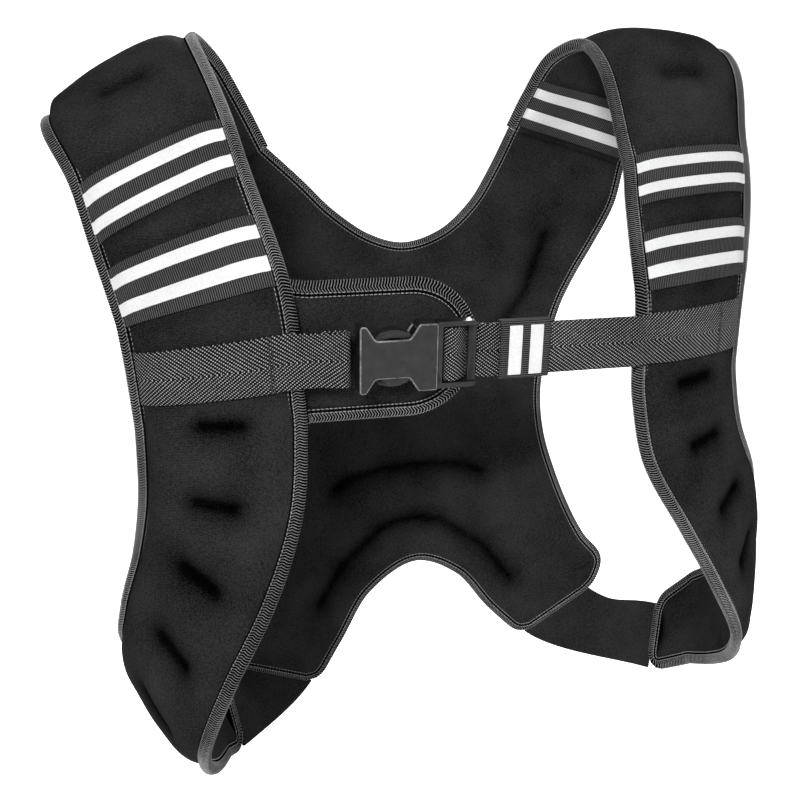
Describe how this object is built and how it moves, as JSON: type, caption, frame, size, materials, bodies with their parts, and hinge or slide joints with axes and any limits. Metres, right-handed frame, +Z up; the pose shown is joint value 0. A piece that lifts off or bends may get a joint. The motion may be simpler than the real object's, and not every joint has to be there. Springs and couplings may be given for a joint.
{
  "type": "weighted training vest",
  "caption": "Padded X-shaped weighted running vest with reflective bands and a buckled chest belt.",
  "frame": {"origin": "midway between the two shoulders, level with the undersides of the padded straps where they rest on the shoulder tops", "axes": "+Z up along the wearer's back, -Y towards the front with the belt buckle, +X to the right as seen from the front"},
  "size_m": [0.4233, 0.2036, 0.4571],
  "materials": {
    "neoprene": "matte knit-faced foam",
    "overlock_binding": "dense grey overlock thread",
    "elastic": "ribbed elastic",
    "webbing": "herringbone weave",
    "reflective_tape": "smooth retroreflective",
    "buckle_plastic": "satin"
  },
  "bodies": {
    "root": {"back_panel": "neoprene", "neck_binding": "overlock_binding", "back_edge_binding": "overlock_binding", "front_strap_left": "neoprene", "strap_binding_left": "overlock_binding", "upper_band_left": "elastic", "upper_band_left_stripe_1": "reflective_tape", "upper_band_left_stripe_2": "reflective_tape", "lower_band_left": "elastic", "lower_band_left_stripe_1": "reflective_tape", "lower_band_left_stripe_2": "reflective_tape", "side_band_left": "neoprene", "front_strap_right": "neoprene", "strap_binding_right": "overlock_binding", "upper_band_right": "elastic", "upper_band_right_stripe_1": "reflective_tape", "upper_band_right_stripe_2": "reflective_tape", "lower_band_right": "elastic", "lower_band_right_stripe_1": "reflective_tape", "lower_band_right_stripe_2": "reflective_tape", "shoulder_band_right": "elastic", "shoulder_band_right_stripe_1": "reflective_tape", "shoulder_band_right_stripe_2": "reflective_tape", "side_band_right": "neoprene", "buckle_socket": "buckle_plastic", "buckle_plug": "buckle_plastic", "webbing_left": "webbing", "webbing_right": "webbing", "webbing_keeper": "elastic", "webbing_keeper_stripe_1": "reflective_tape", "webbing_keeper_stripe_2": "reflective_tape", "guard_flap": "neoprene", "guard_flap_binding": "overlock_binding"}
  },
  "joints": []
}
